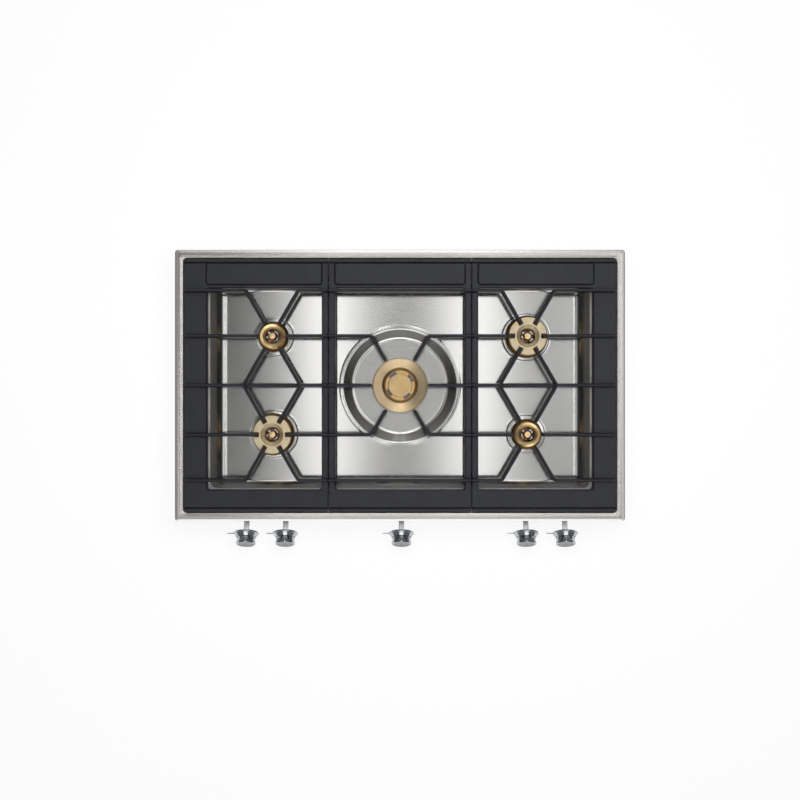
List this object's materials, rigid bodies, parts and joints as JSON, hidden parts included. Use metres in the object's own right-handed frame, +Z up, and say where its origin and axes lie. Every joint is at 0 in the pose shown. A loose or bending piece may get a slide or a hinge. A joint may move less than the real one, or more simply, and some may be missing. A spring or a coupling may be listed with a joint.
{
  "type": "gas cooktop",
  "caption": "Built-in gas cooktop with a steel flange and deep well, cast iron pan grates, brass burners and steel knobs in front of it.",
  "frame": {"origin": "centre of the base's underside, on the cooktop's middle line", "axes": "+X to the right along the front, +Y to the back, +Z up; the knobs are towards -Y"},
  "size_m": [0.908, 0.6083, 0.144],
  "materials": {
    "flange_steel": "brushed stainless steel, fine grain along each side",
    "well_steel": "pressed stainless steel, brushed, half matt",
    "cast_iron": "enamelled cast iron, charcoal black, fine satin grain",
    "burner_brass": "turned brass, satin, with fine turning marks",
    "valve_brass": "machined brass",
    "probe_ceramic": "white glazed ceramic with a steel tip",
    "probe_steel": "bright steel",
    "knob_steel": "turned stainless steel, semi bright",
    "spindle_steel": "ground steel",
    "box_steel": "zinc coated sheet, dull",
    "pipe_metal": "drawn tube",
    "seal_foam": "soft foam strip",
    "module_plastic": "moulded plastic housing"
  },
  "bodies": {
    "root": {"top_frame": "flange_steel", "well_tray": "well_steel", "seal_strip": "seal_foam", "burner_box": "box_steel", "valve_rail": "box_steel", "gas_manifold": "box_steel", "ignition_module": "module_plastic", "burner_base_rear_left": "burner_brass", "electrode_rear_left": "probe_ceramic", "thermocouple_rear_left": "probe_steel", "burner_base_front_left": "burner_brass", "electrode_front_left": "probe_ceramic", "thermocouple_front_left": "probe_steel", "burner_base_wok": "burner_brass", "electrode_wok": "probe_ceramic", "thermocouple_wok": "probe_steel", "burner_base_rear_right": "burner_brass", "electrode_rear_right": "probe_ceramic", "thermocouple_rear_right": "probe_steel", "burner_base_front_right": "burner_brass", "electrode_front_right": "probe_ceramic", "thermocouple_front_right": "probe_steel", "valve_body_1": "valve_brass", "feed_pipe_1": "pipe_metal", "rosette_1": "knob_steel", "valve_body_2": "valve_brass", "feed_pipe_2": "pipe_metal", "rosette_2": "knob_steel", "valve_body_3": "valve_brass", "feed_pipe_3": "pipe_metal", "rosette_3": "knob_steel", "valve_body_4": "valve_brass", "feed_pipe_4": "pipe_metal", "rosette_4": "knob_steel", "valve_body_5": "valve_brass", "feed_pipe_5": "pipe_metal", "rosette_5": "knob_steel"},
    "grate_left": {"grate_left": "cast_iron"},
    "grate_centre": {"grate_centre": "cast_iron"},
    "grate_right": {"grate_right": "cast_iron"},
    "ring_rear_left": {"burner_ring_rear_left": "burner_brass"},
    "ring_front_left": {"burner_ring_front_left": "burner_brass"},
    "ring_wok": {"burner_ring_wok": "burner_brass"},
    "ring_rear_right": {"burner_ring_rear_right": "burner_brass"},
    "ring_front_right": {"burner_ring_front_right": "burner_brass"},
    "wok_cap": {"burner_cap_wok": "burner_brass"},
    "spindle_1": {"valve_spindle_1": "spindle_steel"},
    "knob_1": {"knob_1": "knob_steel"},
    "spindle_2": {"valve_spindle_2": "spindle_steel"},
    "knob_2": {"knob_2": "knob_steel"},
    "spindle_3": {"valve_spindle_3": "spindle_steel"},
    "knob_3": {"knob_3": "knob_steel"},
    "spindle_4": {"valve_spindle_4": "spindle_steel"},
    "knob_4": {"knob_4": "knob_steel"},
    "spindle_5": {"valve_spindle_5": "spindle_steel"},
    "knob_5": {"knob_5": "knob_steel"},
    "clamp_front_left": {"clamp_front_left": "box_steel"},
    "clamp_rear_left": {"clamp_rear_left": "box_steel"},
    "clamp_front_right": {"clamp_front_right": "box_steel"},
    "clamp_rear_right": {"clamp_rear_right": "box_steel"}
  },
  "joints": [
    {"name": "grate_left_lift", "type": "slide", "parent": "root", "child": "grate_left", "axis": [0, 0, 1], "range_m": [0, 0.06]},
    {"name": "grate_centre_lift", "type": "slide", "parent": "root", "child": "grate_centre", "axis": [0, 0, 1], "range_m": [0, 0.06]},
    {"name": "grate_right_lift", "type": "slide", "parent": "root", "child": "grate_right", "axis": [0, 0, 1], "range_m": [0, 0.06]},
    {"name": "ring_rear_left_lift", "type": "slide", "parent": "root", "child": "ring_rear_left", "axis": [0, 0, 1], "range_m": [0, 0.05]},
    {"name": "ring_front_left_lift", "type": "slide", "parent": "root", "child": "ring_front_left", "axis": [0, 0, 1], "range_m": [0, 0.05]},
    {"name": "ring_wok_lift", "type": "slide", "parent": "root", "child": "ring_wok", "axis": [0, 0, 1], "range_m": [0, 0.05]},
    {"name": "ring_rear_right_lift", "type": "slide", "parent": "root", "child": "ring_rear_right", "axis": [0, 0, 1], "range_m": [0, 0.05]},
    {"name": "ring_front_right_lift", "type": "slide", "parent": "root", "child": "ring_front_right", "axis": [0, 0, 1], "range_m": [0, 0.05]},
    {"name": "wok_cap_lift", "type": "slide", "parent": "root", "child": "wok_cap", "axis": [0, 0, 1], "range_m": [0, 0.05]},
    {"name": "knob_1_turn", "type": "hinge", "parent": "root", "child": "spindle_1", "pos_m": [-0.318, -0.304, 0.056], "axis": [0, -0.9272, 0.3746], "range_deg": [0, 270]},
    {"name": "knob_1_push", "type": "slide", "parent": "spindle_1", "child": "knob_1", "axis": [0, 0.9272, -0.3746], "range_m": [0, 0.004], "stiffness_N_per_m": 1000, "springref_m": -0.004},
    {"name": "knob_2_turn", "type": "hinge", "parent": "root", "child": "spindle_2", "pos_m": [-0.237, -0.304, 0.056], "axis": [0, -0.9272, 0.3746], "range_deg": [0, 270]},
    {"name": "knob_2_push", "type": "slide", "parent": "spindle_2", "child": "knob_2", "axis": [0, 0.9272, -0.3746], "range_m": [0, 0.004], "stiffness_N_per_m": 1000, "springref_m": -0.004},
    {"name": "knob_3_turn", "type": "hinge", "parent": "root", "child": "spindle_3", "pos_m": [0.003, -0.304, 0.056], "axis": [0, -0.9272, 0.3746], "range_deg": [0, 270]},
    {"name": "knob_3_push", "type": "slide", "parent": "spindle_3", "child": "knob_3", "axis": [0, 0.9272, -0.3746], "range_m": [0, 0.004], "stiffness_N_per_m": 1000, "springref_m": -0.004},
    {"name": "knob_4_turn", "type": "hinge", "parent": "root", "child": "spindle_4", "pos_m": [0.261, -0.304, 0.056], "axis": [0, -0.9272, 0.3746], "range_deg": [0, 270]},
    {"name": "knob_4_push", "type": "slide", "parent": "spindle_4", "child": "knob_4", "axis": [0, 0.9272, -0.3746], "range_m": [0, 0.004], "stiffness_N_per_m": 1000, "springref_m": -0.004},
    {"name": "knob_5_turn", "type": "hinge", "parent": "root", "child": "spindle_5", "pos_m": [0.342, -0.304, 0.056], "axis": [0, -0.9272, 0.3746], "range_deg": [0, 270]},
    {"name": "knob_5_push", "type": "slide", "parent": "spindle_5", "child": "knob_5", "axis": [0, 0.9272, -0.3746], "range_m": [0, 0.004], "stiffness_N_per_m": 1000, "springref_m": -0.004},
    {"name": "clamp_front_left_swing", "type": "hinge", "parent": "root", "child": "clamp_front_left", "pos_m": [-0.411, -0.15, 0.076], "axis": [0, 0, 1], "range_deg": [0, 90]},
    {"name": "clamp_rear_left_swing", "type": "hinge", "parent": "root", "child": "clamp_rear_left", "pos_m": [-0.411, 0.15, 0.076], "axis": [0, 0, -1], "range_deg": [0, 90]},
    {"name": "clamp_front_right_swing", "type": "hinge", "parent": "root", "child": "clamp_front_right", "pos_m": [0.411, -0.15, 0.076], "axis": [0, 0, -1], "range_deg": [0, 90]},
    {"name": "clamp_rear_right_swing", "type": "hinge", "parent": "root", "child": "clamp_rear_right", "pos_m": [0.411, 0.15, 0.076], "axis": [0, 0, 1], "range_deg": [0, 90]}
  ]
}
